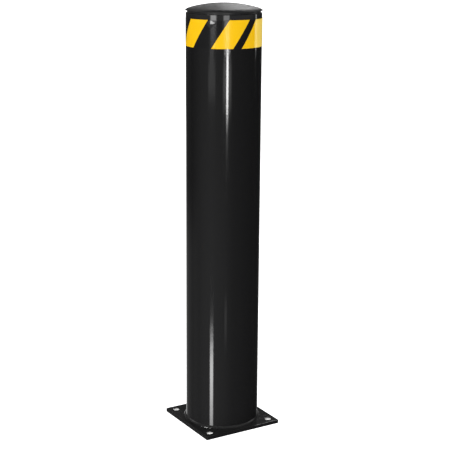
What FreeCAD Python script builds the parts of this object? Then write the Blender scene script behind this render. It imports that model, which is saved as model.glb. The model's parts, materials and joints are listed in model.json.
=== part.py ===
"""Surface-mounted steel bollard: square base plate, welded round tube, hazard tape and a push-in cap.

Millimetres. The origin is the centre of the plate's underside, +Z runs up the post, and the plate's
sides lie along X and Y. Tape angles are measured from +X towards +Y.
"""
import FreeCAD, Part
import math
import os

import Sketcher

X_AXIS_OF_SKETCH = -1
Y_AXIS_OF_SKETCH = -2
SAME_LENGTH = 1e-4  # lengths closer than this are taken as equal

SIZES = [
    # base plate
    ("plate_side", 184, "side of the square base plate"),
    ("plate_thickness", 8, "thickness of the base plate"),
    ("plate_corner", 1, "corner radius of the plate in plan"),
    ("plate_edge", 0.5, "bevel round the plate's upper edge"),
    ("hole_spacing", 150, "distance between anchor hole centres"),
    ("hole_diameter", 14, "anchor hole, for a 12 mm anchor"),
    ("hole_count", 4, "anchor holes"),
    # tube
    ("post_od", 159, "outside diameter of the tube"),
    ("post_wall", 4.5, "wall thickness of the tube"),
    ("post_top", 900, "height of the tube's end above the floor"),
    ("post_edge", 0.6, "bevel on the tube's outer top edge"),
    # weld
    ("weld_leg", 5, "leg length of the fillet weld"),
    ("weld_bulge", 0.6, "height of the convex bead above its chord"),
    # cap
    ("dome_radius", 270, "outside radius of the cap's dome"),
    ("dome_height", 20, "crown of the dome above the tube's end"),
    ("dome_shell", 3, "wall of the dome"),
    ("lip_diameter", 161, "diameter of the lip"),
    ("lip_gap", 4.8, "open gap between the tube's end and the lip"),
    ("lip_edge", 3.2, "rounding from the dome into the lip"),
    ("lip_under", 0.4, "rounding of the lip's lower edge"),
    ("neck_diameter", 153, "neck that stands on the tube's end"),
    ("skirt_diameter", 144, "outside diameter of the plug's skirt"),
    ("skirt_wall", 2.8, "wall of the skirt"),
    ("skirt_depth", 32, "depth of the skirt below the tube's end"),
    ("skirt_lead", 1.2, "bevel at the foot of the skirt"),
    ("core_overrun", 1, "how far the cap's core is cut past the skirt's foot"),
    ("fin_diameter", 149.4, "outside diameter of a grip fin, pressed in"),
    ("fin_root", 1.8, "thickness of a fin at the skirt"),
    ("fin_tip", 0.8, "thickness of a fin at its edge"),
    ("fin_sweep", 0.6, "drop of the fin's root below its edge"),
    ("fin_count", 4, "grip fins"),
    ("fin_reach", 20, "height from the lowest fin to the highest"),
    ("fin_first", 6, "height of the lowest fin above the skirt's foot"),
    ("fin_bite", 0.5, "how far a fin's root is sunk in the skirt"),
    ("web_thickness", 2.2, "stiffening web under the dome"),
    ("web_depth", 10, "depth of the webs below the tube's end"),
    ("web_count", 6, "stiffening webs"),
    # hazard tape
    ("tape_bottom", 832.4, "height of the tape's lower edge"),
    ("tape_width", 57.5, "width of the tape"),
    ("tape_film", 0.3, "thickness of the tape"),
    ("stripe_slant", 27.2, "turn of a stripe's edge from bottom to top"),
    ("front_stripe_middle", -110.1, "middle of the stripe at the front"),
    ("front_stripe_span", 32.7, "angle taken by the stripe at the front"),
    ("side_stripe_middle", -175.5, "middle of the stripe on the -X side"),
    ("side_stripe_span", 33.7, "angle taken by the stripe on the -X side"),
    ("lap_stripe_middle", -51.8, "middle of the wide stripe where the wrap's ends lap"),
    ("lap_stripe_span", 57, "angle taken by the wide stripe"),
    ("back_stripe_middle", 34, "middle of the first stripe at the back"),
    ("rear_stripe_middle", 110.4, "middle of the second stripe at the back"),
    ("back_stripe_span", 38.2, "angle taken by each stripe at the back"),
    ("cutter_reach", 120, "how far a stripe's cutter goes out from the axis"),
]


def make_sizes(doc):
    """Write every driving size to a spreadsheet, with a word as its alias."""
    sheet = doc.addObject("Spreadsheet::Sheet", "sizes")
    for row, (alias, value, note) in enumerate(SIZES, start=1):
        sheet.set("A%d" % row, note)
        sheet.set("B%d" % row, str(value))
        sheet.setAlias("B%d" % row, alias)
    doc.recompute()
    return sheet


def value_of(doc, expression):
    """The number an expression on the spreadsheet stands for now."""
    return float(doc.sizes.evalExpression(expression))


def origin_feature(body, role):
    """One of the body's own origin planes or axes."""
    for feature in body.Origin.OriginFeatures:
        if feature.Role == role:
            return feature
    raise ValueError("no %s in %s" % (role, body.Name))


def new_sketch(body, name, role, height=None):
    """A sketch on an origin plane, lifted by an expression along the plane's normal."""
    sketch = body.newObject("Sketcher::SketchObject", name)
    sketch.AttachmentSupport = [(origin_feature(body, role), "")]
    sketch.MapMode = "FlatFace"
    if height is not None:
        sketch.setExpression("AttachmentOffset.Base.z", height)
    return sketch


def bind(sketch, kind, references, expression):
    """Add a dimension to a sketch and drive it from the spreadsheet."""
    value = value_of(sketch.Document, expression)
    index = sketch.addConstraint(Sketcher.Constraint(kind, *references, value))
    sketch.setExpression("Constraints[%d]" % index, expression)


def place_point(sketch, geometry, end, across, up):
    """Hold a point of a sketch at (across, up); None leaves that direction to other constraints."""
    if across == "0":
        sketch.addConstraint(Sketcher.Constraint("PointOnObject", geometry, end, Y_AXIS_OF_SKETCH))
    elif across is not None:
        bind(sketch, "DistanceX", (-1, 1, geometry, end), across)
    if up is not None:
        bind(sketch, "DistanceY", (-1, 1, geometry, end), up)


def join_ends(sketch, first, second):
    """Make the end of one sketch line the start of the next."""
    sketch.addConstraint(Sketcher.Constraint("Coincident", first, 2, second, 1))


def closed_outline(sketch, corners):
    """Draw a closed outline of straight lines through corners given as pairs of expressions."""
    doc = sketch.Document
    points = [FreeCAD.Vector(value_of(doc, across), value_of(doc, up), 0) for across, up in corners]
    count = len(points)
    for index in range(count):
        sketch.addGeometry(Part.LineSegment(points[index], points[(index + 1) % count]))
    for index in range(count):
        join_ends(sketch, index, (index + 1) % count)
    for index, (across, up) in enumerate(corners):
        place_point(sketch, index, 1, across, up)


def circle_outline(sketch, diameter, across=None, up=None):
    """Draw one driven circle, on the sketch's origin or at (across, up)."""
    doc = sketch.Document
    centre = FreeCAD.Vector(0, 0, 0)
    if across is not None:
        centre = FreeCAD.Vector(value_of(doc, across), value_of(doc, up), 0)
    radius = value_of(doc, diameter) / 2
    circle = sketch.addGeometry(Part.Circle(centre, FreeCAD.Vector(0, 0, 1), radius))
    bind(sketch, "Diameter", (circle,), diameter)
    if across is None:
        sketch.addConstraint(Sketcher.Constraint("Coincident", circle, 3, -1, 1))
    else:
        place_point(sketch, circle, 3, across, up)


def dome_outline(sketch, arc_radius, crown, edge, foot):
    """Draw half of a domed disc: an arc centred on the axis, out to edge and down to foot."""
    doc = sketch.Document
    radius = value_of(doc, arc_radius)
    top = value_of(doc, crown)
    rim = value_of(doc, edge)
    low = value_of(doc, foot)
    centre = FreeCAD.Vector(0, top - radius, 0)
    shoulder = top - radius + math.sqrt(radius**2 - rim**2)
    turn = math.atan2(shoulder - centre.y, rim)
    circle = Part.Circle(centre, FreeCAD.Vector(0, 0, 1), radius)
    arc = sketch.addGeometry(Part.ArcOfCircle(circle, turn, math.pi / 2))
    down = sketch.addGeometry(Part.LineSegment(FreeCAD.Vector(0, top, 0), FreeCAD.Vector(0, low, 0)))
    across = sketch.addGeometry(Part.LineSegment(FreeCAD.Vector(0, low, 0), FreeCAD.Vector(rim, low, 0)))
    side = sketch.addGeometry(
        Part.LineSegment(FreeCAD.Vector(rim, low, 0), FreeCAD.Vector(rim, shoulder, 0))
    )
    join_ends(sketch, arc, down)
    join_ends(sketch, down, across)
    join_ends(sketch, across, side)
    join_ends(sketch, side, arc)
    sketch.addConstraint(Sketcher.Constraint("PointOnObject", arc, 3, Y_AXIS_OF_SKETCH))
    sketch.addConstraint(Sketcher.Constraint("Vertical", side))
    sketch.addConstraint(Sketcher.Constraint("Horizontal", across))
    bind(sketch, "Radius", (arc,), arc_radius)
    place_point(sketch, down, 1, "0", crown)
    place_point(sketch, across, 1, "0", foot)
    bind(sketch, "DistanceX", (-1, 1, side, 1), edge)


def feature(body, kind, name, **properties):
    """Add a PartDesign feature and set its plain properties."""
    new = body.newObject(kind, name)
    for key, value in properties.items():
        setattr(new, key, value)
    return new


def pad(body, name, sketch, length, reverse=False, side="One side"):
    """Pad a sketch by a driven length."""
    new = feature(body, "PartDesign::Pad", name, Profile=sketch, Reversed=reverse, SideType=side)
    new.setExpression("Length", length)
    return new


def revolve(body, kind, name, sketch):
    """Turn a sketch once round the body's Z axis, as a Revolution or a Groove."""
    axis = (origin_feature(body, "Z_Axis"), [""])
    return feature(body, kind, name, Profile=sketch, ReferenceAxis=axis, Angle=360)


def ring_pattern(body, name, original, count):
    """Repeat a feature all the way round the body's Z axis."""
    axis = (origin_feature(body, "Z_Axis"), [""])
    new = feature(body, "PartDesign::PolarPattern", name, Originals=[original], Axis=axis, Angle=360)
    new.setExpression("Occurrences", count)
    body.Tip = new
    return new


def edges_where(shape, wanted):
    """Names of the edges for which wanted(edge) holds."""
    return ["Edge%d" % (i + 1) for i, edge in enumerate(shape.Edges) if wanted(edge)]


def dress(body, kind, name, base, edges, size_property, size):
    """Round or bevel edges of a feature by a driven size."""
    new = feature(body, kind, name, Base=(base, edges))
    new.setExpression(size_property, size)
    return new


def lies_at(edge, height):
    """Whether the whole edge is at one height."""
    box = edge.BoundBox
    return abs(box.ZMin - height) < SAME_LENGTH and abs(box.ZMax - height) < SAME_LENGTH


def is_ring(edge, radius):
    """Whether the edge is a circle of this radius about the Z axis."""
    if edge.Degenerated or not isinstance(edge.Curve, Part.Circle):
        return False
    centre = edge.Curve.Center
    on_axis = math.hypot(centre.x, centre.y) < SAME_LENGTH
    return on_axis and abs(edge.Curve.Radius - radius) < SAME_LENGTH


def make_base_plate(doc):
    """Square plate with rounded corners, a bevelled upper edge and a ring of anchor holes."""
    body = doc.addObject("PartDesign::Body", "base_plate")
    outline = new_sketch(body, "plate_outline", "XY_Plane")
    near = "-sizes.plate_side / 2"
    far = "sizes.plate_side / 2"
    closed_outline(outline, [(near, near), (far, near), (far, far), (near, far)])
    blank = pad(body, "plate_blank", outline, "sizes.plate_thickness")
    doc.recompute()

    top = value_of(doc, "sizes.plate_thickness")
    upright = edges_where(blank.Shape, lambda edge: edge.BoundBox.ZLength > top / 2)
    corners = dress(
        body, "PartDesign::Fillet", "plate_corners", blank, upright, "Radius", "sizes.plate_corner"
    )
    doc.recompute()

    rim = edges_where(corners.Shape, lambda edge: lies_at(edge, top))
    dress(body, "PartDesign::Chamfer", "plate_edge", corners, rim, "Size", "sizes.plate_edge")
    doc.recompute()

    hole = new_sketch(body, "anchor_hole_outline", "XY_Plane")
    offset = "sizes.hole_spacing / 2"
    circle_outline(hole, "sizes.hole_diameter", offset, offset)
    drilled = feature(body, "PartDesign::Pocket", "anchor_hole", Profile=hole, Type="ThroughAll")
    drilled.Reversed = True
    ring_pattern(body, "anchor_holes", drilled, "sizes.hole_count")
    return body


def make_post_tube(doc):
    """Round tube standing on the plate, open at the top."""
    body = doc.addObject("PartDesign::Body", "post_tube")
    section = new_sketch(body, "tube_section", "XY_Plane", "sizes.plate_thickness")
    circle_outline(section, "sizes.post_od")
    circle_outline(section, "sizes.post_od - 2 * sizes.post_wall")
    tube = pad(body, "tube", section, "sizes.post_top - sizes.plate_thickness")
    doc.recompute()

    radius = value_of(doc, "sizes.post_od / 2")
    top = value_of(doc, "sizes.post_top")
    outer = edges_where(tube.Shape, lambda edge: is_ring(edge, radius) and lies_at(edge, top))
    dress(body, "PartDesign::Chamfer", "tube_end_bevel", tube, outer, "Size", "sizes.post_edge")
    return body


def make_base_weld(doc):
    """Convex fillet bead all the way round the foot of the tube."""
    body = doc.addObject("PartDesign::Body", "base_weld")
    section = new_sketch(body, "weld_section", "XZ_Plane")
    wall = value_of(doc, "sizes.post_od / 2")
    floor = value_of(doc, "sizes.plate_thickness")
    leg = value_of(doc, "sizes.weld_leg")
    bulge = value_of(doc, "sizes.weld_bulge")
    heel = FreeCAD.Vector(wall, floor, 0)
    toe = FreeCAD.Vector(wall + leg, floor, 0)
    head = FreeCAD.Vector(wall, floor + leg, 0)
    crest = (toe + head) / 2 + FreeCAD.Vector(bulge, bulge, 0) / math.sqrt(2)

    foot = section.addGeometry(Part.LineSegment(heel, toe))
    face = section.addGeometry(Part.Arc(toe, crest, head))
    back = section.addGeometry(Part.LineSegment(head, heel))
    join_ends(section, foot, face)
    join_ends(section, face, back)
    join_ends(section, back, foot)
    section.addConstraint(Sketcher.Constraint("Horizontal", foot))
    section.addConstraint(Sketcher.Constraint("Vertical", back))
    place_point(section, foot, 1, "sizes.post_od / 2", "sizes.plate_thickness")
    bind(section, "DistanceX", (foot, 1, foot, 2), "sizes.weld_leg")
    bind(section, "DistanceY", (back, 2, back, 1), "sizes.weld_leg")
    half_chord_squared = "sizes.weld_leg ^ 2 / 2"
    radius = "(%s + sizes.weld_bulge ^ 2) / (2 * sizes.weld_bulge)" % half_chord_squared
    bind(section, "Radius", (face,), radius)
    revolve(body, "PartDesign::Revolution", "weld_bead", section)
    return body


def add_cap_crown(doc, body):
    """Solid dome with its rounded lip, the neck that stands on the tube and the skirt's blank."""
    outline = new_sketch(body, "dome_outline", "XZ_Plane")
    crown = "sizes.post_top + sizes.dome_height"
    foot = "sizes.post_top + sizes.lip_gap"
    dome_outline(outline, "sizes.dome_radius", crown, "sizes.lip_diameter / 2", foot)
    dome = revolve(body, "PartDesign::Revolution", "dome", outline)
    doc.recompute()

    radius = value_of(doc, "sizes.lip_diameter / 2")
    low = value_of(doc, foot)
    shoulder = edges_where(dome.Shape, lambda edge: is_ring(edge, radius) and not lies_at(edge, low))
    rounded = dress(body, "PartDesign::Fillet", "lip_rounding", dome, shoulder, "Radius", "sizes.lip_edge")
    doc.recompute()
    under = edges_where(rounded.Shape, lambda edge: is_ring(edge, radius) and lies_at(edge, low))
    dress(body, "PartDesign::Fillet", "lip_under_rounding", rounded, under, "Radius", "sizes.lip_under")

    neck = new_sketch(body, "neck_outline", "XY_Plane", "sizes.post_top")
    circle_outline(neck, "sizes.neck_diameter")
    pad(body, "neck", neck, "sizes.lip_gap")

    skirt_foot = "sizes.post_top - sizes.skirt_depth"
    skirt = new_sketch(body, "skirt_outline", "XY_Plane", skirt_foot)
    circle_outline(skirt, "sizes.skirt_diameter")
    blank = pad(body, "skirt_blank", skirt, "sizes.skirt_depth")
    doc.recompute()

    radius = value_of(doc, "sizes.skirt_diameter / 2")
    low = value_of(doc, skirt_foot)
    lead = edges_where(blank.Shape, lambda edge: is_ring(edge, radius) and lies_at(edge, low))
    dress(body, "PartDesign::Chamfer", "skirt_lead", blank, lead, "Size", "sizes.skirt_lead")


def hollow_cap(body):
    """Core the cap out, leaving the dome's shell and the skirt's wall."""
    core = new_sketch(body, "core_outline", "XZ_Plane")
    radius = "sizes.dome_radius - sizes.dome_shell"
    crown = "sizes.post_top + sizes.dome_height - sizes.dome_shell"
    bore = "sizes.skirt_diameter / 2 - sizes.skirt_wall"
    foot = "sizes.post_top - sizes.skirt_depth - sizes.core_overrun"
    dome_outline(core, radius, crown, bore, foot)
    revolve(body, "PartDesign::Groove", "core", core)


def add_cap_fins(body):
    """Grip fins round the skirt, one above another."""
    outline = new_sketch(body, "fin_outline", "XZ_Plane")
    root = "sizes.skirt_diameter / 2 - sizes.fin_bite"
    edge = "sizes.fin_diameter / 2"
    low = "sizes.post_top - sizes.skirt_depth + sizes.fin_first"
    lip = low + " + sizes.fin_sweep"
    closed_outline(
        outline,
        [(root, low), (edge, lip), (edge, lip + " + sizes.fin_tip"), (root, low + " + sizes.fin_root")],
    )
    fin = revolve(body, "PartDesign::Revolution", "fin", outline)
    upwards = (origin_feature(body, "Z_Axis"), [""])
    fins = feature(body, "PartDesign::LinearPattern", "fins", Originals=[fin], Direction=upwards)
    fins.setExpression("Length", "sizes.fin_reach")
    fins.setExpression("Occurrences", "sizes.fin_count")
    body.Tip = fins


def add_cap_webs(body):
    """Radial webs that stiffen the dome, meeting on the axis."""
    outline = new_sketch(body, "web_outline", "XZ_Plane")
    radius = "sizes.dome_radius - sizes.dome_shell / 2"
    crown = "sizes.post_top + sizes.dome_height - sizes.dome_shell / 2"
    reach = "sizes.skirt_diameter / 2 - sizes.skirt_wall / 2"
    dome_outline(outline, radius, crown, reach, "sizes.post_top - sizes.web_depth")
    web = pad(body, "web", outline, "sizes.web_thickness", side="Symmetric")
    ring_pattern(body, "webs", web, "sizes.web_count")


def make_post_cap(doc):
    """Moulded cap: dome, lip and neck above the tube, finned skirt inside it."""
    body = doc.addObject("PartDesign::Body", "post_cap")
    add_cap_crown(doc, body)
    hollow_cap(body)
    add_cap_fins(body)
    add_cap_webs(body)
    return body


def make_band(doc, name):
    """The whole wrap of tape, as a thin ring round the tube."""
    outer = doc.addObject("Part::Cylinder", name + "_outside")
    outer.setExpression("Radius", "sizes.post_od / 2 + sizes.tape_film")
    inner = doc.addObject("Part::Cylinder", name + "_inside")
    inner.setExpression("Radius", "sizes.post_od / 2")
    for cylinder in (outer, inner):
        cylinder.setExpression("Height", "sizes.tape_width")
        cylinder.setExpression("Placement.Base.z", "sizes.tape_bottom")
    band = doc.addObject("Part::Cut", name)
    band.Base = outer
    band.Tool = inner
    return band


def make_sector(doc, name, span, turn, height):
    """A triangle with its point on the axis, span wide, turned about the axis and lifted."""
    reach = value_of(doc, "sizes.cutter_reach")
    mouth = "2 * sizes.cutter_reach * tan(%s / 2 * 1deg)" % span
    rise = value_of(doc, mouth) / 2
    tip = FreeCAD.Vector(0, 0, 0)
    right = FreeCAD.Vector(reach, -rise, 0)
    left = FreeCAD.Vector(reach, rise, 0)
    sketch = doc.addObject("Sketcher::SketchObject", name)
    lower = sketch.addGeometry(Part.LineSegment(tip, right))
    front = sketch.addGeometry(Part.LineSegment(right, left))
    upper = sketch.addGeometry(Part.LineSegment(left, tip))
    join_ends(sketch, lower, front)
    join_ends(sketch, front, upper)
    sketch.addConstraint(Sketcher.Constraint("Coincident", upper, 2, -1, 1))
    sketch.addConstraint(Sketcher.Constraint("Coincident", lower, 1, -1, 1))
    sketch.addConstraint(Sketcher.Constraint("Symmetric", front, 1, front, 2, X_AXIS_OF_SKETCH))
    bind(sketch, "DistanceX", (-1, 1, front, 1), "sizes.cutter_reach")
    bind(sketch, "DistanceY", (front, 1, front, 2), mouth)
    upwards = FreeCAD.Vector(0, 0, 1)
    any_turn_but_zero = 30
    sketch.Placement = FreeCAD.Placement(tip, FreeCAD.Rotation(upwards, any_turn_but_zero))
    sketch.setExpression("Placement.Rotation.Angle", turn)
    sketch.setExpression("Placement.Base.z", height)
    return sketch


def make_stripe(doc, name, middle, span):
    """A slanted wedge that covers one stripe's share of the band."""
    low = "sizes.tape_bottom"
    high = "sizes.tape_bottom + sizes.tape_width"
    bottom = make_sector(doc, name + "_low", span, middle + " - sizes.stripe_slant / 2", low)
    top = make_sector(doc, name + "_high", span, middle + " + sizes.stripe_slant / 2", high)
    wedge = doc.addObject("Part::Loft", name)
    wedge.Sections = [bottom, top]
    wedge.Solid = True
    wedge.Ruled = True
    return wedge


def make_tape(doc):
    """Split the wrap into its yellow stripes and the black ones between them."""
    wedges = [
        make_stripe(doc, "front_stripe", "sizes.front_stripe_middle", "sizes.front_stripe_span"),
        make_stripe(doc, "side_stripe", "sizes.side_stripe_middle", "sizes.side_stripe_span"),
        make_stripe(doc, "lap_stripe", "sizes.lap_stripe_middle", "sizes.lap_stripe_span"),
        make_stripe(doc, "back_stripe", "sizes.back_stripe_middle", "sizes.back_stripe_span"),
        make_stripe(doc, "rear_stripe", "sizes.rear_stripe_middle", "sizes.back_stripe_span"),
    ]
    yellow = doc.addObject("Part::MultiFuse", "tape_yellow_stripes")
    black = make_band(doc, "band_for_black")
    for wedge in wedges:
        black_cut = doc.addObject("Part::Cut", "black_cut_%s" % wedge.Name)
        black_cut.Base = black
        black_cut.Tool = wedge
        black = black_cut
    black.Label = "tape_black_stripes"
    stripes = []
    for wedge in wedges:
        stripe = doc.addObject("Part::Common", "yellow_%s" % wedge.Name)
        stripe.Base = make_band(doc, "band_for_%s" % wedge.Name)
        stripe.Tool = wedge
        stripes.append(stripe)
    yellow.Shapes = stripes
    return yellow, black


def check_document(doc):
    """Stop if anything failed to compute or is not a valid shape."""
    for item in doc.Objects:
        if {"Invalid", "Error"} & set(item.State):
            raise RuntimeError("%s did not compute: %s" % (item.Name, item.State))
        is_origin_feature = item.TypeId.startswith("App::")
        if is_origin_feature or not hasattr(item, "Shape"):
            continue
        if item.Shape.isNull() or not item.Shape.isValid():
            raise RuntimeError("%s has no valid shape" % item.Name)


def main():
    doc = FreeCAD.newDocument("bollard")
    make_sizes(doc)
    parts = {
        "base_plate": make_base_plate(doc),
        "post_tube": make_post_tube(doc),
        "base_weld": make_base_weld(doc),
        "post_cap": make_post_cap(doc),
    }
    parts["tape_yellow_stripes"], parts["tape_black_stripes"] = make_tape(doc)
    doc.recompute()
    check_document(doc)
    os.makedirs("parts", exist_ok=True)
    for node, item in parts.items():
        shape = item.Shape
        shape.exportStep("parts/%s.step" % node)
        print("%-20s solids %d, volume %.0f mm3" % (node, len(shape.Solids), shape.Volume))


main()
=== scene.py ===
"""Looks of a surface-mounted steel bollard: painted tube and plate, weld bead, hazard tape, moulded cap.

Metres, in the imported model's frame: +Z up the post, origin under the centre of the base plate.
"""
import json
import math

import bmesh
import bpy
from mathutils import Matrix, Vector, noise


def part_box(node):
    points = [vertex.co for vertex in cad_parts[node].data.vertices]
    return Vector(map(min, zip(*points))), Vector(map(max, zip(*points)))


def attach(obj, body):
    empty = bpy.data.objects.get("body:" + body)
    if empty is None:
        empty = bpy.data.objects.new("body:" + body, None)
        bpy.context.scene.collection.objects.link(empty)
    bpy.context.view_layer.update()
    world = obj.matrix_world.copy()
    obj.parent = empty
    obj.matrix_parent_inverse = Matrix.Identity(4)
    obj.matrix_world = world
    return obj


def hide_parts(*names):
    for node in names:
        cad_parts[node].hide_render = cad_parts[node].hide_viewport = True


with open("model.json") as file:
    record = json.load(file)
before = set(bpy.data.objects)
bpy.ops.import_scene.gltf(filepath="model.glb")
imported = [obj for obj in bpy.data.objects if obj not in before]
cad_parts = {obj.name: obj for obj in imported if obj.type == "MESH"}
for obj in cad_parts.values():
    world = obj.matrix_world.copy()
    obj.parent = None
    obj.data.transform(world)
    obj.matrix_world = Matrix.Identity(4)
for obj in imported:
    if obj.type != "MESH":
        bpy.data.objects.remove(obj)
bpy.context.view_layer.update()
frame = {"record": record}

MM = 0.001
TAU = 2 * math.pi
ON_AXIS = 1e-9


def span(node, axis):
    """Lowest and highest coordinate of a CAD node along an axis."""
    low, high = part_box(node)
    return low[axis], high[axis]


# --- sizes read from the frame --------------------------------------------------------------------
PLATE_TOP = span("base_plate", 2)[1]
PLATE_HALF = span("base_plate", 0)[1]
POST_RADIUS = span("post_tube", 0)[1]
POST_TOP = span("post_tube", 2)[1]
CAP_FOOT, CAP_CROWN = span("post_cap", 2)
LIP_RADIUS = span("post_cap", 0)[1]
TAPE_BOTTOM, TAPE_TOP = span("tape_black_stripes", 2)
HOLES = next(m for m in frame["record"]["mounts"] if m["name"] == "anchor_holes")
HOLE_OFFSET = HOLES["dims"]["spacing_x_mm"] * MM / 2
HOLE_RADIUS = HOLES["dims"]["hole_r_mm"] * MM

# --- sizes the frame doesn't hold -----------------------------------------------------------------
POST_WALL = 4.5 * MM
BORE_RADIUS = POST_RADIUS - POST_WALL
PLATE_CORNER = 1 * MM
PLATE_SOFTENING = 0.5 * MM
PAINT_RUN_IN = 1.8 * MM
WELD_LEG = 5 * MM
WELD_BULGE = 0.6 * MM
LIP_UNDERSIDE = POST_TOP + 4.8 * MM
DOME_RADIUS = 270 * MM
DOME_SHELL = 3 * MM
RIM_START = 71 * MM
RIM_SHOULDER = 76 * MM
RIM_EDGE = 0.8 * MM
NECK_RADIUS = 76.5 * MM
SKIRT_RADIUS = 72 * MM
SKIRT_WALL = 2.8 * MM
FIN_RADIUS = 74.7 * MM
FIN_COUNT = 4
FIN_REACH = 20 * MM
WEB_THICKNESS = 2.2 * MM
WEB_FOOT = POST_TOP - 10 * MM
WEB_COUNT = 6
TAPE_FILM = 0.3 * MM
STRIPE_SLANT = math.radians(27.2)

# Yellow stripes, as the angle of the middle and the angle taken, from +X towards +Y. The wrap's end
# laps over its start on the wide one, with an upright cut at LAP_CUT.
YELLOW_STRIPES = (
    (-110.1, 32.7),
    (-175.5, 33.7),
    (-51.8, 57.0),
    (34.0, 38.2),
    (110.4, 38.2),
)
LAP_CUT = math.radians(-69.5)

# Air trapped under the black film: angle in degrees, height of the middle, radius and rise.
AIR_BUBBLES = (
    (-141.4, 0.8822, 8.0 * MM, 0.5 * MM),
    (-136.0, 0.8830, 3.0 * MM, 0.2 * MM),
)


# --- mesh helpers ---------------------------------------------------------------------------------
def polar(radius, angle, height):
    """A point at a radius and angle about the post's axis."""
    return Vector((radius * math.cos(angle), radius * math.sin(angle), height))


def mesh_object(name, verts, faces, smooth_angle=35):
    """A mesh object whose edges sharper than smooth_angle degrees stay crisp."""
    mesh = bpy.data.meshes.new(name)
    mesh.from_pydata([tuple(v) for v in verts], [], faces)
    work = bmesh.new()
    work.from_mesh(mesh)
    bmesh.ops.remove_doubles(work, verts=work.verts, dist=1e-6)
    bmesh.ops.recalc_face_normals(work, faces=work.faces)
    work.to_mesh(mesh)
    work.free()
    mesh.shade_smooth()
    mesh.set_sharp_from_angle(angle=math.radians(smooth_angle))
    piece = bpy.data.objects.new(name, mesh)
    bpy.context.scene.collection.objects.link(piece)
    return piece


def join(name, pieces):
    """Merge finished pieces into one object."""
    work = bmesh.new()
    for piece in pieces:
        work.from_mesh(piece.data)
    mesh = bpy.data.meshes.new(name)
    work.to_mesh(mesh)
    work.free()
    for piece in pieces:
        bpy.data.objects.remove(piece)
    merged = bpy.data.objects.new(name, mesh)
    bpy.context.scene.collection.objects.link(merged)
    return merged


def grid_faces(rows, columns, wrap_rows=False, wrap_columns=False):
    """Quads over a grid of rows x columns points stored row by row."""
    faces = []
    for i in range(rows if wrap_rows else rows - 1):
        for j in range(columns if wrap_columns else columns - 1):
            nxt_i = (i + 1) % rows
            nxt_j = (j + 1) % columns
            faces.append((i * columns + j, i * columns + nxt_j, nxt_i * columns + nxt_j, nxt_i * columns + j))
    return faces


def lathe(name, profile, segments, closed=True, smooth_angle=35):
    """Turn a profile of (radius, height) about the post's axis; points on the axis close to one."""
    angles = [TAU * k / segments for k in range(segments)]
    verts = [polar(radius, angle, height) for angle in angles for radius, height in profile]
    faces = grid_faces(segments, len(profile), wrap_rows=True, wrap_columns=closed)
    return mesh_object(name, verts, faces, smooth_angle)


def arc_points(centre, radius, start, end, count):
    """Points of an arc in the (radius, height) plane, angles in degrees."""
    points = []
    for k in range(count + 1):
        angle = math.radians(start + (end - start) * k / count)
        points.append((centre[0] + radius * math.cos(angle), centre[1] + radius * math.sin(angle)))
    return points


# --- the steel post -------------------------------------------------------------------------------
def build_tube():
    """Round tube with softened ends and the flattened seam of its making inside the bore."""
    soft = 0.6 * MM
    outer = [(POST_RADIUS, PLATE_TOP)]
    outer += [(POST_RADIUS, PLATE_TOP + (POST_TOP - PLATE_TOP - soft) * k / 24) for k in range(1, 25)]
    outer += arc_points((POST_RADIUS - soft, POST_TOP - soft), soft, 15, 90, 5)
    inner = arc_points((BORE_RADIUS + soft / 2, POST_TOP - soft / 2), soft / 2, 90, 180, 4)
    inner += [(BORE_RADIUS, POST_TOP - (POST_TOP - PLATE_TOP) * k / 24) for k in range(1, 25)]
    profile = outer + inner
    seam_angle = math.radians(62)
    seam_width = math.radians(1.3)
    seam_height = 0.7 * MM
    segments = 360
    verts = []
    for k in range(segments):
        angle = TAU * k / segments
        away = math.remainder(angle - seam_angle, TAU) / seam_width
        ridge = seam_height * math.exp(-away * away)
        for radius, height in profile:
            inside = radius < BORE_RADIUS + 0.01 * MM and height < POST_TOP - 2 * MM
            verts.append(polar(radius - ridge if inside else radius, angle, height))
    faces = grid_faces(segments, len(profile), wrap_rows=True, wrap_columns=True)
    return mesh_object("tube_wall", verts, faces)


def quadrant_outline(inset):
    """Boundary of a quarter of the plate, pulled in by inset on its outer sides."""
    half = PLATE_HALF - inset
    corner = max(PLATE_CORNER - inset, 0.4 * MM)
    straight = half - corner
    points = [(half * k / 12, 0) for k in range(12)]
    points += [(half, straight * k / 14) for k in range(14)]
    points += arc_points((straight, straight), corner, 0, 90, 6)
    points += [(straight * (13 - k) / 14, half) for k in range(13)]
    points += [(0, half)]
    points += [(0, half * (11 - k) / 12) for k in range(11)]
    return points


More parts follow.
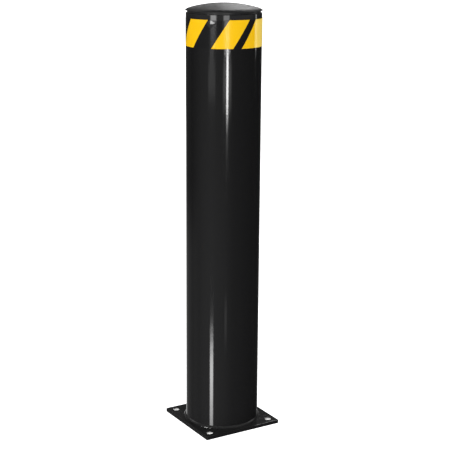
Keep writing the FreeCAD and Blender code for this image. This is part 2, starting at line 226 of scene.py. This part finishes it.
def build_plate():
    """Square plate with rolled edges and four clean holes."""
    soft = PLATE_SOFTENING
    levels = [(2 * soft, 0), (soft, 0), (0.3 * soft, 0.3 * soft), (0, soft), (0, PLATE_TOP - soft)]
    levels += [(0.3 * soft, PLATE_TOP - 0.3 * soft), (soft, PLATE_TOP), (2 * soft, PLATE_TOP)]
    hole_levels = [(2 * soft, PLATE_TOP), (soft, PLATE_TOP), (0.3 * soft, PLATE_TOP - 0.3 * soft)]
    hole_levels += [(0, PLATE_TOP - soft), (0, soft), (soft, 0), (2 * soft, 0)]
    outlines = [[(x, y, height) for x, y in quadrant_outline(inset)] for inset, height in levels]
    centre = Vector((HOLE_OFFSET, HOLE_OFFSET))
    rings = []
    for flare, height in hole_levels:
        radius = HOLE_RADIUS + flare
        ring = []
        for x, y in quadrant_outline(0):
            out = (Vector((x, y)) - centre).normalized() * radius
            ring.append((centre.x + out.x, centre.y + out.y, height))
        rings.append(ring)
    loops = outlines + rings
    count = len(outlines[0])
    verts = []
    faces = []
    for flip_x, flip_y in ((1, 1), (-1, 1), (-1, -1), (1, -1)):
        start = len(verts)
        for loop in loops:
            verts += [(x * flip_x, y * flip_y, z) for x, y, z in loop]
        for a in range(len(loops)):
            b = (a + 1) % len(loops)
            for k in range(count):
                k2 = (k + 1) % count
                row_a = start + a * count
                row_b = start + b * count
                quad = [row_a + k, row_a + k2, row_b + k2, row_b + k]
                points = [loops[a][k], loops[a][k2]]
                is_side = a < len(levels) - 1
                on_middle = all(p[0] < ON_AXIS for p in points) or all(p[1] < ON_AXIS for p in points)
                if is_side and on_middle:
                    continue
                faces.append(quad if flip_x * flip_y > 0 else quad[::-1])
    return mesh_object("plate_slab", verts, faces, 30)


def build_weld():
    """Fillet bead laid as overlapping crescents, with small changes of width and one stop."""
    around = 1440
    across = 14
    ripple_count = 132
    stop_angle = math.radians(148)
    toe = Vector((POST_RADIUS + WELD_LEG, PLATE_TOP))
    head = Vector((POST_RADIUS, PLATE_TOP + WELD_LEG))
    chord = head - toe
    outward = Vector((1, 1)).normalized()
    root = Vector((POST_RADIUS, PLATE_TOP))
    sunk = root - Vector((0.2, 0.2)) * MM
    verts = []
    for k in range(around):
        angle = TAU * k / around
        place = Vector((math.cos(angle), math.sin(angle), 0)) * 3.0
        breadth = 1 + 0.07 * noise.noise(place * 1.3) + 0.035 * noise.noise(place * 6)
        stop = math.exp(-(math.remainder(angle - stop_angle, TAU) / math.radians(2.4)) ** 2)
        for j in range(across + 1):
            t = j / across
            bow = 4 * t * (1 - t)
            phase = ripple_count * angle / TAU + 0.42 * bow + 0.5 * noise.noise(place * 2.2)
            saw = phase - math.floor(phase)
            step = (saw ** 1.6) - 0.4
            swell = WELD_BULGE * bow * (1 + 0.35 * stop) + 0.14 * MM * step * min(1, 2.2 * bow)
            point = toe + chord * t
            point = root + (point - root) * breadth
            point = point + outward * swell
            verts.append(polar(max(point.x, sunk.x), angle, max(point.y, sunk.y)))
        verts.append(polar(sunk.x, angle, sunk.y))
    faces = grid_faces(around, across + 2, wrap_rows=True, wrap_columns=True)
    return mesh_object("weld_bead", verts, faces, 60)


# --- the cap --------------------------------------------------------------------------------------
def dome_height(radius, shell=0.0):
    """Height of the dome's outside, or of the surface shell below it, at a radius."""
    centre = CAP_CROWN - DOME_RADIUS
    return centre + math.sqrt((DOME_RADIUS - shell) ** 2 - radius**2)


def rim_points():
    """The dome turning down to the lip's thin edge, along its own tangent at first."""
    start = Vector((RIM_START, dome_height(RIM_START)))
    fall = math.tan(math.asin(RIM_START / DOME_RADIUS))
    shoulder = Vector((RIM_SHOULDER, start.y - fall * (RIM_SHOULDER - RIM_START)))
    edge = Vector((LIP_RADIUS, LIP_UNDERSIDE + RIM_EDGE))
    points = []
    for k in range(13):
        t = k / 12
        points.append(tuple(start * (1 - t) ** 2 + shoulder * (2 * t * (1 - t)) + edge * t**2))
    return points


def cap_profile():
    """Section of the cap from its crown, round the lip and plug, back to the crown's underside."""
    under = 0.4 * MM
    profile = [(r * MM, dome_height(r * MM)) for r in (0, 2, 5, 9, 14, 20, 26, 32, 38, 44, 50, 56, 62, 67)]
    profile += rim_points()
    profile += arc_points((LIP_RADIUS - under, LIP_UNDERSIDE + under), under, 0, -90, 4)
    profile += [(NECK_RADIUS + 0.5 * MM, LIP_UNDERSIDE), (NECK_RADIUS, LIP_UNDERSIDE - 0.5 * MM)]
    profile += [(NECK_RADIUS, POST_TOP + 0.25 * MM), (NECK_RADIUS - 0.25 * MM, POST_TOP)]
    profile += [(SKIRT_RADIUS + 0.4 * MM, POST_TOP), (SKIRT_RADIUS, POST_TOP - 0.4 * MM)]
    for k in reversed(range(FIN_COUNT)):
        low = CAP_FOOT + 6 * MM + FIN_REACH * k / (FIN_COUNT - 1)
        profile += [(SKIRT_RADIUS, low + 2.1 * MM), (SKIRT_RADIUS + 0.4 * MM, low + 1.75 * MM)]
        profile += [(FIN_RADIUS - 0.2 * MM, low + 1.4 * MM), (FIN_RADIUS, low + 1.2 * MM)]
        profile += [(FIN_RADIUS, low + 0.8 * MM), (FIN_RADIUS - 0.2 * MM, low + 0.6 * MM)]
        profile += [(SKIRT_RADIUS + 0.4 * MM, low + 0.1 * MM), (SKIRT_RADIUS, low - 0.3 * MM)]
    profile += [(SKIRT_RADIUS, CAP_FOOT + 1.2 * MM), (SKIRT_RADIUS - 1.2 * MM, CAP_FOOT)]
    inner = SKIRT_RADIUS - SKIRT_WALL
    profile += [(inner + 0.4 * MM, CAP_FOOT), (inner, CAP_FOOT + 0.4 * MM), (inner, WEB_FOOT)]
    profile += [(inner, POST_TOP - 2 * MM), (inner, dome_height(inner, DOME_SHELL) - 1.2 * MM)]
    profile += [(inner - 0.4 * MM, dome_height(inner, DOME_SHELL) - 0.35 * MM)]
    inside = (68, 64, 56, 48, 40, 32, 24, 16, 10, 6, 3, 0)
    profile += [(r * MM, dome_height(r * MM, DOME_SHELL)) for r in inside]
    return profile


def build_cap_web(index):
    """One radial web under the dome, thicker at its root than at its free edge."""
    turn = Matrix.Rotation(TAU * index / WEB_COUNT, 4, "Z")
    reach = SKIRT_RADIUS - SKIRT_WALL / 2
    steps = 14
    verts = []
    for k in range(steps + 1):
        along = reach * k / steps
        head = dome_height(along, DOME_SHELL * 0.6)
        scallop = 3.0 * MM * math.sin(math.pi * k / steps)
        foot = WEB_FOOT + scallop
        thin = WEB_THICKNESS * 0.40
        thick = WEB_THICKNESS * 0.56
        section = [(-thick, head), (-thin, foot + 0.5 * MM), (-thin * 0.5, foot)]
        section += [(thin * 0.5, foot), (thin, foot + 0.5 * MM), (thick, head)]
        verts += [turn @ Vector((along, side, height)) for side, height in section]
    faces = grid_faces(steps + 1, 6, wrap_columns=True)
    faces.append(tuple(range(6))[::-1])
    faces.append(tuple(range(steps * 6, steps * 6 + 6)))
    return mesh_object("cap_web_%d" % (index + 1), verts, faces, 30)


def build_ejector_marks():
    """Shallow round marks and the trimmed gate that moulding leaves on the dome's underside."""
    marks = []
    for index in range(WEB_COUNT):
        angle = TAU * (index + 0.5) / WEB_COUNT
        centre = polar(44 * MM, angle, dome_height(44 * MM, DOME_SHELL) + 0.1 * MM)
        marks.append(build_disc("ejector_mark_%d" % (index + 1), centre, 4 * MM, 0.45 * MM))
    crown = Vector((0, 0, WEB_FOOT + 0.6 * MM))
    marks.append(build_disc("gate_mark", crown, 4.2 * MM, 1.6 * MM))
    return marks


def build_disc(name, top, radius, depth):
    """A low round boss hanging below a point, with a softened rim and a dished face."""
    profile = [(0, 0), (radius, 0), (radius, -depth * 0.7), (radius * 0.94, -depth)]
    profile += [(radius * 0.8, -depth), (radius * 0.72, -depth * 0.8), (0, -depth * 0.8)]
    disc = lathe(name, profile, 32, smooth_angle=30)
    disc.data.transform(Matrix.Translation(top))
    return disc


def build_cap():
    """The whole cap as one moulding."""
    shell = lathe("cap_shell", cap_profile(), 240, closed=False, smooth_angle=28)
    webs = [build_cap_web(index) for index in range(WEB_COUNT)]
    return join("cap_moulding", [shell] + webs + build_ejector_marks())


# --- the tape -------------------------------------------------------------------------------------
def bubble_rise(angle, height):
    """How far trapped air lifts the film at an angle and height."""
    rises = [0.0]
    for degrees, middle, radius, rise in AIR_BUBBLES:
        along = math.remainder(angle - math.radians(degrees), TAU) * POST_RADIUS
        away = min(1.0, math.hypot(along, height - middle) / radius)
        rises.append(rise * (1 - away) ** 2 * (1 + 2 * away))
    return max(rises)


def film_patch(start, end, layer, cut=-math.inf):
    """Verts and faces of one slanted patch of film between two angles at mid-height.

    A patch that starts before the cut angle begins at the cut instead.
    """
    across = max(6, int(math.degrees(end - start) * 1.5))
    up = 56
    verts = []
    for side in (0, 1):
        for i in range(up + 1):
            v = i / up
            height = TAPE_BOTTOM + (TAPE_TOP - TAPE_BOTTOM) * v
            for j in range(across + 1):
                slant = (v - 0.5) * STRIPE_SLANT
                near = max(start + slant, cut)
                angle = near + (end + slant - near) * j / across
                radius = POST_RADIUS + TAPE_FILM * (layer if side else layer - 1)
                if side:
                    rim = min(v, 1 - v) * (TAPE_TOP - TAPE_BOTTOM)
                    radius -= 0.10 * MM * math.exp(-rim / (0.35 * MM))
                    ripple = noise.noise(Vector((angle * 9, height * 38, 1.7)))
                    radius += 0.035 * MM * ripple + bubble_rise(angle, height)
                verts.append(polar(radius, angle, height))
    size = (up + 1) * (across + 1)
    faces = grid_faces(up + 1, across + 1)
    faces += [tuple(size + index for index in face)[::-1] for face in grid_faces(up + 1, across + 1)]
    row = across + 1
    rims = [[i * row for i in range(up + 1)], [i * row + across for i in range(up + 1)]]
    rims += [list(range(row)), [up * row + j for j in range(row)]]
    for rim in rims:
        for a, b in zip(rim, rim[1:]):
            faces.append((a, b, size + b, size + a))
    return verts, faces


def build_film(name, patches):
    """One object from several patches of film, given as (start, end, layer, cut)."""
    verts = []
    faces = []
    for patch in patches:
        patch_verts, patch_faces = film_patch(*patch)
        faces += [tuple(len(verts) + index for index in face) for face in patch_faces]
        verts += patch_verts
    return mesh_object(name, verts, faces, 40)


def stripe_edges():
    """Start and end angle of each yellow stripe, in order round the post."""
    edges = []
    for middle, width in YELLOW_STRIPES:
        edges.append((math.radians(middle - width / 2), math.radians(middle + width / 2)))
    return sorted(edges)


def build_tape():
    """Yellow and black stripes of one wrap."""
    edges = stripe_edges()
    yellow = [(start, end, 1) for start, end in edges]
    yellow += [(start, end, 2, LAP_CUT) for start, end in edges if start < LAP_CUT < end]
    following = edges[1:] + [(edges[0][0] + TAU, edges[0][1] + TAU)]
    black = [(this[1], after[0], 1) for this, after in zip(edges, following)]
    return build_film("tape_yellow", yellow), build_film("tape_black", black)


def is_lap(polygon):
    """Whether a face of the tape belongs to its second layer."""
    middle = polygon.center
    return math.hypot(middle.x, middle.y) > POST_RADIUS + 1.5 * TAPE_FILM


# --- materials ------------------------------------------------------------------------------------
class Nodes:
    """Short calls for building a node tree."""

    def __init__(self, owner):
        owner.use_nodes = True
        self.tree = owner.node_tree
        self.tree.nodes.clear()

    def add(self, kind, **settings):
        node = self.tree.nodes.new(kind)
        for key, value in settings.items():
            setattr(node, key, value)
        return node

    def link(self, source, target):
        self.tree.links.new(source, target)

    def put(self, socket, value):
        """Link value into socket when it is an output, or set it when it is a plain number."""
        if isinstance(value, bpy.types.NodeSocket):
            self.link(value, socket)
        else:
            socket.default_value = value

    def math(self, operation, first, second=None, third=None):
        node = self.add("ShaderNodeMath", operation=operation)
        for index, value in enumerate((first, second, third)):
            if value is not None:
                self.put(node.inputs[index], value)
        return node.outputs[0]

    def ramp(self, value, low, high, out_low=0.0, out_high=1.0, smooth=True):
        kind = "SMOOTHSTEP" if smooth else "LINEAR"
        node = self.add("ShaderNodeMapRange", interpolation_type=kind)
        for socket, number in zip(node.inputs, (value, low, high, out_low, out_high)):
            self.put(socket, number)
        return node.outputs["Result"]

    def mix_colour(self, factor, first, second):
        node = self.add("ShaderNodeMix", data_type="RGBA")
        self.put(node.inputs[0], factor)
        self.put(node.inputs[6], first)
        self.put(node.inputs[7], second)
        return node.outputs[2]

    def noise(self, vector, scale, detail=2.0, roughness=0.5):
        node = self.add("ShaderNodeTexNoise")
        self.put(node.inputs["Vector"], vector)
        node.inputs["Scale"].default_value = scale
        node.inputs["Detail"].default_value = detail
        node.inputs["Roughness"].default_value = roughness
        return node.outputs["Fac"]

    def voronoi(self, vector, scale, feature="F1", randomness=1.0):
        node = self.add("ShaderNodeTexVoronoi", feature=feature)
        self.put(node.inputs["Vector"], vector)
        node.inputs["Scale"].default_value = scale
        node.inputs["Randomness"].default_value = randomness
        return node.outputs["Distance"]

    def bump(self, height, strength, distance, normal=None):
        node = self.add("ShaderNodeBump")
        node.inputs["Strength"].default_value = strength
        node.inputs["Distance"].default_value = distance
        self.put(node.inputs["Height"], height)
        if normal is not None:
            self.link(normal, node.inputs["Normal"])
        return node.outputs["Normal"]


def new_material(name, colour, roughness, **sockets):
    """A Principled material; colour and roughness may be built later from nodes."""
    material = bpy.data.materials.new(name)
    nodes = Nodes(material)
    shader = nodes.add("ShaderNodeBsdfPrincipled")
    output = nodes.add("ShaderNodeOutputMaterial")
    nodes.link(shader.outputs["BSDF"], output.inputs["Surface"])
    shader.inputs["Base Color"].default_value = (*colour, 1)
    shader.inputs["Roughness"].default_value = roughness
    for socket, value in sockets.items():
        shader.inputs[socket.replace("_", " ")].default_value = value
    material.diffuse_color = (*colour, 1)
    place = nodes.add("ShaderNodeTexCoord").outputs["Object"]
    return material, nodes, shader, place


def black_paint():
    """Glossy black paint over steel: a faint orange peel, fine dust specks, and a lighter film on what faces
    up, partly settled dust and partly painted light.
    """
    colour = (0.0060, 0.0060, 0.0063)
    material, nodes, shader, place = new_material("black_gloss_paint", colour, 0.1)
    peel = nodes.noise(place, 260, 2.0, 0.45)
    waves = nodes.noise(place, 46, 1.0, 0.4)
    haze = nodes.noise(place, 9, 4.0, 0.6)
    nodes.link(nodes.ramp(haze, 0.35, 0.7, 0.05, 0.08), shader.inputs["Roughness"])
    specks = nodes.voronoi(place, 420)
    dust = nodes.ramp(specks, 0.035, 0.09, 1.0, 0.0)
    dusted = nodes.mix_colour(nodes.math("MULTIPLY", dust, 0.25), (*colour, 1), (0.03, 0.03, 0.031, 1))
    facing = nodes.add("ShaderNodeSeparateXYZ")
    nodes.link(nodes.add("ShaderNodeNewGeometry").outputs["Normal"], facing.inputs[0])
    # Faces that point up are painted lighter: partly settled dust, partly painted light standing in for the
    # brightness their tops take from above.
    painted_light_on_top = nodes.ramp(facing.outputs["Z"], 0.35, 0.9)
    dust_and_painted_light = nodes.math("MULTIPLY", painted_light_on_top, nodes.ramp(haze, 0.3, 0.7, 0.75, 1.0))
    nodes.link(nodes.mix_colour(dust_and_painted_light, dusted, (0.052, 0.052, 0.052, 1)), shader.inputs["Base Color"])
    coarse = nodes.bump(waves, 0.25, 0.12 * MM)
    fine = nodes.bump(peel, 0.3, 0.05 * MM, coarse)
    nodes.link(nodes.bump(dust, 0.3, 0.04 * MM, fine), shader.inputs["Normal"])
    return material


def hole_wall_paint_and_painted_glow():
    """Walls of the anchor holes: black paint run in at the top, and below it pale tones with drill rings,
    painted to stand in for the bright floor seen through the holes.
    """
    material, nodes, shader, place = new_material("hole_wall_painted_glow", (0.9, 0.9, 0.89), 0.55)
    split = nodes.add("ShaderNodeSeparateXYZ")
    nodes.link(place, split.inputs[0])
    rings = nodes.math("SINE", nodes.math("MULTIPLY", split.outputs["Z"], TAU / (0.6 * MM)))
    cloud = nodes.noise(place, 300, 3.0, 0.6)
    # Pale tones below the paint line are painted brightness standing in for the glowing floor seen through
    # the holes.
    tone = nodes.mix_colour(nodes.ramp(cloud, 0.35, 0.7), (0.96, 0.96, 0.95, 1), (0.90, 0.90, 0.89, 1))
    depth = nodes.math("SUBTRACT", PLATE_TOP - PAINT_RUN_IN, split.outputs["Z"])
    painted_glow_mask = nodes.ramp(nodes.math("MULTIPLY_ADD", cloud, 0.6 * MM, depth), 0.0, 0.3 * MM)
    nodes.link(nodes.mix_colour(painted_glow_mask, (0.004, 0.004, 0.004, 1), tone), shader.inputs["Base Color"])
    nodes.link(nodes.ramp(painted_glow_mask, 0.0, 1.0, 0.07, 0.55), shader.inputs["Roughness"])
    nodes.link(nodes.bump(rings, 0.2, 0.03 * MM), shader.inputs["Normal"])
    return material


def bore_steel():
    """Inside of the tube: overspray near the mouth, then grey-brown mill scale with light rust."""
    material, nodes, shader, place = new_material("bore_mill_scale", (0.05, 0.045, 0.042), 0.6)
    split = nodes.add("ShaderNodeSeparateXYZ")
    nodes.link(place, split.inputs[0])
    cloud = nodes.noise(place, 22, 5.0, 0.65)
    grain = nodes.noise(place, 240, 3.0, 0.6)
    scale = nodes.mix_colour(nodes.ramp(cloud, 0.4, 0.62), (0.055, 0.05, 0.048, 1), (0.12, 0.055, 0.03, 1))
    wander = nodes.math("MULTIPLY_ADD", cloud, 0.05, POST_TOP - 0.085)
    spray = nodes.math("SUBTRACT", split.outputs["Z"], wander)
    edge = nodes.ramp(nodes.math("ADD", spray, nodes.math("MULTIPLY", grain, 0.012)), 0.0, 0.035)
    nodes.link(nodes.mix_colour(edge, scale, (0.008, 0.008, 0.009, 1)), shader.inputs["Base Color"])
    nodes.link(nodes.ramp(edge, 0.0, 1.0, 0.62, 0.3), shader.inputs["Roughness"])
    nodes.link(nodes.bump(grain, 0.4, 0.15 * MM), shader.inputs["Normal"])
    return material


def cap_plastic():
    """Matt moulded plastic with a fine spark-eroded grain and faint flow marks."""
    material, nodes, shader, place = new_material("cap_matt_plastic", (0.010, 0.010, 0.0105), 0.45)
    grain = nodes.voronoi(place, 900, "SMOOTH_F1")
    fine = nodes.noise(place, 1500, 2.0, 0.5)
    flow = nodes.noise(place, 16, 3.0, 0.5)
    nodes.link(
        nodes.mix_colour(nodes.ramp(flow, 0.3, 0.7), (0.0085, 0.0085, 0.009, 1), (0.0115, 0.0115, 0.012, 1)),
        shader.inputs["Base Color"],
    )
    nodes.link(nodes.ramp(grain, 0.1, 0.6, 0.38, 0.48), shader.inputs["Roughness"])
    pitted = nodes.bump(grain, 0.35, 0.06 * MM)
    nodes.link(nodes.bump(fine, 0.25, 0.02 * MM, pitted), shader.inputs["Normal"])
    return material


def tape_film(name, colour, dark, roughness, bubbles=()):
    """Reflective film: sealed cells under a clear skin, in one printed colour.

    Over a bubble, the air gap below the film adds to its shine.
    """
    sockets = {"Specular_IOR_Level": 0.3, "Coat_IOR": 1.7, "Coat_Roughness": 0.08}
    material, nodes, shader, place = new_material(name, colour, roughness, **sockets)
    split = nodes.add("ShaderNodeSeparateXYZ")
    nodes.link(place, split.inputs[0])
    angle = nodes.math("ARCTAN2", split.outputs["Y"], split.outputs["X"])
    unrolled = nodes.add("ShaderNodeCombineXYZ")
    nodes.link(nodes.math("MULTIPLY", angle, POST_RADIUS), unrolled.inputs["X"])
    nodes.link(split.outputs["Z"], unrolled.inputs["Y"])
    cells = nodes.voronoi(unrolled.outputs[0], 260, "DISTANCE_TO_EDGE", 0.25)
    wall = nodes.ramp(cells, 0.03, 0.09, 1.0, 0.0)
    beads = nodes.voronoi(place, 2600)
    cloud = nodes.noise(place, 30, 3.0, 0.5)
    tone = nodes.math("ADD", nodes.math("MULTIPLY", wall, 0.3), nodes.ramp(cloud, 0.3, 0.75, 0.0, 0.2))
    nodes.link(nodes.mix_colour(tone, (*colour, 1), (*dark, 1)), shader.inputs["Base Color"])
    gap = 0.0
    for degrees, middle, radius, _ in bubbles:
        away = nodes.add("ShaderNodeVectorMath", operation="DISTANCE")
        nodes.link(place, away.inputs[0])
        away.inputs[1].default_value = polar(POST_RADIUS + TAPE_FILM, math.radians(degrees), middle)
        gap = nodes.math("MAXIMUM", nodes.ramp(away.outputs["Value"], radius, radius * 0.7), gap)
    if bubbles:
        nodes.link(gap, shader.inputs["Coat Weight"])
    embossed = nodes.bump(wall, 0.25, 0.03 * MM)
    nodes.link(nodes.bump(beads, 0.12, 0.012 * MM, embossed), shader.inputs["Normal"])
    return material


def sheen(material, weight, tint):
    """Give a film a pale sheen layer near the post's outline."""
    shader = next(node for node in material.node_tree.nodes if node.type == "BSDF_PRINCIPLED")
    shader.inputs["Sheen Weight"].default_value = weight
    shader.inputs["Sheen Roughness"].default_value = 0.35
    shader.inputs["Sheen Tint"].default_value = (*tint, 1)


# --- studio ---------------------------------------------------------------------------------------
CAMERA_DISTANCE = 2.5027
CAMERA_HEIGHT = 1.0800
CAMERA_AZIMUTH = math.radians(-31.08)
CAMERA_PITCH = math.radians(14.208)
CAMERA_TURN = math.radians(0.109)
CAMERA_ROLL = math.radians(0.351)
CAMERA_LENS = 95.56
SENSOR_WIDTH = 36.0
FLOOR_GLOW = 1.3


def add_camera():
    """Camera a little above the cap, tilted down along the post."""
    data = bpy.data.cameras.new("camera")
    data.lens = CAMERA_LENS
    data.sensor_width = SENSOR_WIDTH
    data.clip_end = 200
    camera = bpy.data.objects.new("camera", data)
    bpy.context.scene.collection.objects.link(camera)
    place = Vector((math.sin(CAMERA_AZIMUTH), -math.cos(CAMERA_AZIMUTH), 0)) * CAMERA_DISTANCE
    place.z = CAMERA_HEIGHT
    heading = Matrix.Rotation(CAMERA_AZIMUTH - CAMERA_TURN, 4, "Z")
    tilt = Matrix.Rotation(math.pi / 2 - CAMERA_PITCH, 4, "X")
    roll = Matrix.Rotation(CAMERA_ROLL, 4, "Z")
    camera.matrix_world = Matrix.Translation(place) @ heading @ tilt @ roll
    bpy.context.scene.camera = camera


def add_floor():
    """Large plain pale floor that glows like a light table and is left out of reflections."""
    verts = [(0, 0, 0)] + [tuple(polar(60, TAU * k / 64, 0)) for k in range(64)]
    faces = [(0, 1 + k, 1 + (k + 1) % 64) for k in range(64)]
    floor = mesh_object("studio_floor", verts, faces)
    material, nodes, shader, place = new_material("studio_floor_white", (0.8, 0.8, 0.8), 0.9)
    tone = nodes.ramp(nodes.noise(place, 3, 3.0, 0.5), 0.3, 0.7, 0.79, 0.81)
    nodes.link(tone, shader.inputs["Base Color"])
    shader.inputs["Emission Color"].default_value = (1, 1, 1, 1)
    shader.inputs["Emission Strength"].default_value = FLOOR_GLOW
    floor.data.materials.append(material)
    floor.visible_glossy = False


# Light round the post below eye level: degrees to the right of the camera's side, and brightness.
SURROUND = (
    (-180, 0.30),
    (-163, 0.17),
    (-150, 0.07),
    (-125, 0.05),
    (-105, 0.06),
    (-75, 0.19),
    (-45, 0.28),
    (-15, 0.25),
    (10, 0.20),
    (30, 0.13),
    (60, 0.09),
    (90, 0.05),
    (115, 0.03),
    (150, 0.03),
    (165, 0.15),
    (180, 0.30),
)

# Strip lights: centre and half width in degrees to the right of the camera's side, the elevations
# between which each fades in and out, and brightness.
STRIPS = (
    (11.3, 2.9, (-9.6, -8.2, -6.1, -5.7), 24.0),
    (11.0, 12.0, (-9.0, -8.0, -6.9, -6.0), 1.3),
    (10.5, 8.5, (-6.05, -5.8, -4.5, -4.3), 8.0),
    (7.5, 8.5, (-4.5, -4.3, 8, 15), 3.6),
    (10.5, 3.5, (-20.2, -19.0, -18.4, -17.5), 0.45),
    (-33.6, 5.2, (-27, -20.7, -21.0, -18.6), 12.5),
    (-36.0, 11.0, (-8.4, -7.8, -6.8, -6.2), 0.6),
    (-36.5, 6.0, (-6.8, -6.2, -4.8, -4.6), 0.6),
    (-31.5, 8.5, (-4.6, -4.4, 8, 15), 6.0),
    (-122.0, 36.0, (-40, -30, -16, -12), 0.09),
    (-165.0, 9.0, (-40, -35, -10, -8), 0.45),
    (-50.0, 8.0, (25, 28, 32, 35), 18.0),
    (112.0, 2.2, (-5.6, -5.2, 6, 12), 3.5),
    (112.0, 2.0, (-5.9, -5.5, -4.6, -4.3), 12.0),
    (173.0, 6.0, (26, 29, 34, 39), 10.5),
    (175.0, 5.0, (11, 13, 16, 18), 5.0),
    (-175.0, 5.0, (11, 13, 16, 18), 1.8),
    (180.0, 3.0, (-40, -20, -6, -2), 14.0),
    (-32.0, 5.0, (-75, -60, -34, -29), 6.0),
    (12.0, 3.5, (-75, -60, -34, -29), 8.0),
)


def strip(nodes, azimuth, elevation, centre, half_width, reach, strength):
    """Brightness of one strip light seen in a direction."""
    across = nodes.math("ABSOLUTE", nodes.math("SUBTRACT", azimuth, centre))
    body = nodes.ramp(across, half_width * 0.7, half_width * 1.3, 1.0, 0.0)
    bottom = nodes.ramp(elevation, reach[0], reach[1])
    top = nodes.ramp(elevation, reach[2], reach[3], 1.0, 0.0)
    return nodes.math("MULTIPLY", nodes.math("MULTIPLY", body, strength), nodes.math("MULTIPLY", bottom, top))


def surround_light(nodes, azimuth, elevation):
    """Soft light from round about, below eye level: bright on the left, dim on the right."""
    turn = nodes.add("ShaderNodeValToRGB")
    turn.color_ramp.interpolation = "CARDINAL"
    nodes.link(nodes.ramp(azimuth, -180, 180, smooth=False), turn.inputs[0])
    stops = turn.color_ramp.elements
    while len(stops) < len(SURROUND):
        stops.new(0.5)
    for stop, (degrees, brightness) in zip(stops, SURROUND):
        stop.position = (degrees + 180) / 360
        stop.color = (brightness, brightness, brightness, 1)
    lower = nodes.ramp(elevation, -19, -8, 1.25, 0.95)
    return nodes.math("MULTIPLY", turn.outputs[0], lower)


def add_studio_world():
    """Dim surround, a soft light high behind the post, and strip lights; white where the camera sees it."""
    world = bpy.data.worlds.new("studio")
    bpy.context.scene.world = world
    nodes = Nodes(world)
    direction = nodes.add("ShaderNodeTexCoord").outputs["Generated"]
    split = nodes.add("ShaderNodeSeparateXYZ")
    turned = nodes.add("ShaderNodeVectorRotate", rotation_type="Z_AXIS")
    turned.inputs["Angle"].default_value = -CAMERA_AZIMUTH
    nodes.link(direction, turned.inputs["Vector"])
    nodes.link(turned.outputs[0], split.inputs[0])
    sideways, depth, height = split.outputs
    elevation = nodes.math("DEGREES", nodes.math("ARCSINE", height))
    azimuth = nodes.math("DEGREES", nodes.math("ARCTAN2", sideways, nodes.math("MULTIPLY", depth, -1.0)))
    behind = nodes.ramp(depth, 0.1, 0.55)
    rising = nodes.ramp(elevation, 30, 40, 0.0, 0.95)
    high = nodes.math("MULTIPLY", rising, nodes.ramp(elevation, 42, 54, 1.0, 0.0))
    high = nodes.math("MULTIPLY", high, behind)
    skyline = nodes.ramp(elevation, 3, 11, 0.24, 0.0)
    broad = nodes.math("ADD", nodes.ramp(depth, -0.2, 0.3, 0.20, 0.04), skyline)
    overhead = nodes.math("ADD", high, broad)
    below = nodes.ramp(elevation, -3, 2, 1.0, 0.0)
    total = nodes.mix_colour(below, overhead, surround_light(nodes, azimuth, elevation))
    for centre, half_width, reach, strength in STRIPS:
        light = strip(nodes, azimuth, elevation, centre, half_width, reach, strength)
        total = nodes.math("ADD", total, light)
    seen = nodes.add("ShaderNodeLightPath").outputs["Is Camera Ray"]
    colour = nodes.mix_colour(seen, total, (1.0, 1.0, 1.0, 1))
    background = nodes.add("ShaderNodeBackground")
    nodes.link(colour, background.inputs["Color"])
    output = nodes.add("ShaderNodeOutputWorld")
    nodes.link(background.outputs[0], output.inputs["Surface"])


# --- assembly -------------------------------------------------------------------------------------
def finish_piece(piece, body, slot, nodes_replaced, *materials):
    """Give a piece its materials, put it on its body and let it stand for CAD nodes."""
    for material in materials:
        piece.data.materials.append(material)
    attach(piece, body)
    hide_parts(*nodes_replaced)


def main():
    paint = black_paint()
    tube = build_tube()
    finish_piece(tube, "post", "black_paint", ["post_tube"], paint, bore_steel())
    for polygon in tube.data.polygons:
        middle = polygon.center
        if math.hypot(middle.x, middle.y) < BORE_RADIUS + 0.02 * MM:
            polygon.material_index = 1
    plate = build_plate()
    finish_piece(plate, "post", "black_paint", ["base_plate"], paint, hole_wall_paint_and_painted_glow())
    for polygon in plate.data.polygons:
        middle = polygon.center
        from_hole = math.hypot(abs(middle.x) - HOLE_OFFSET, abs(middle.y) - HOLE_OFFSET)
        if from_hole < HOLE_RADIUS + 0.2 * MM and abs(polygon.normal.z) < 0.5:
            polygon.material_index = 1
    weld = build_weld()
    finish_piece(weld, "post", "black_paint", ["base_weld"], paint)
    plate.visible_glossy = False
    weld.visible_glossy = False
    finish_piece(build_cap(), "cap", "black_plastic", ["post_cap"], cap_plastic())
    yellow, black = build_tape()
    yellow_film = tape_film("tape_yellow_film", (0.90, 0.522, 0.001), (0.84, 0.475, 0.001), 0.18)
    # The doubled end of the wrap is given a paler yellow: painted sheen standing in for light on that side of
    # the post.
    lap_film_painted_sheen = tape_film("tape_yellow_film_doubled_painted_sheen", (0.97, 0.68, 0.09), (0.93, 0.63, 0.07), 0.18)
    sheen(lap_film_painted_sheen, 0.6, (1.0, 0.85, 0.45))
    black_tones = ((0.007, 0.007, 0.0075), (0.010, 0.010, 0.0105))
    black_film = tape_film("tape_black_film", *black_tones, 0.1, AIR_BUBBLES)
    finish_piece(yellow, "post", "yellow_tape", ["tape_yellow_stripes"], yellow_film, lap_film_painted_sheen)
    for polygon in yellow.data.polygons:
        if is_lap(polygon):
            polygon.material_index = 1
    finish_piece(black, "post", "black_tape", ["tape_black_stripes"], black_film)
    add_camera()
    add_floor()
    add_studio_world()
    bpy.context.scene.view_settings.view_transform = "Standard"


main()
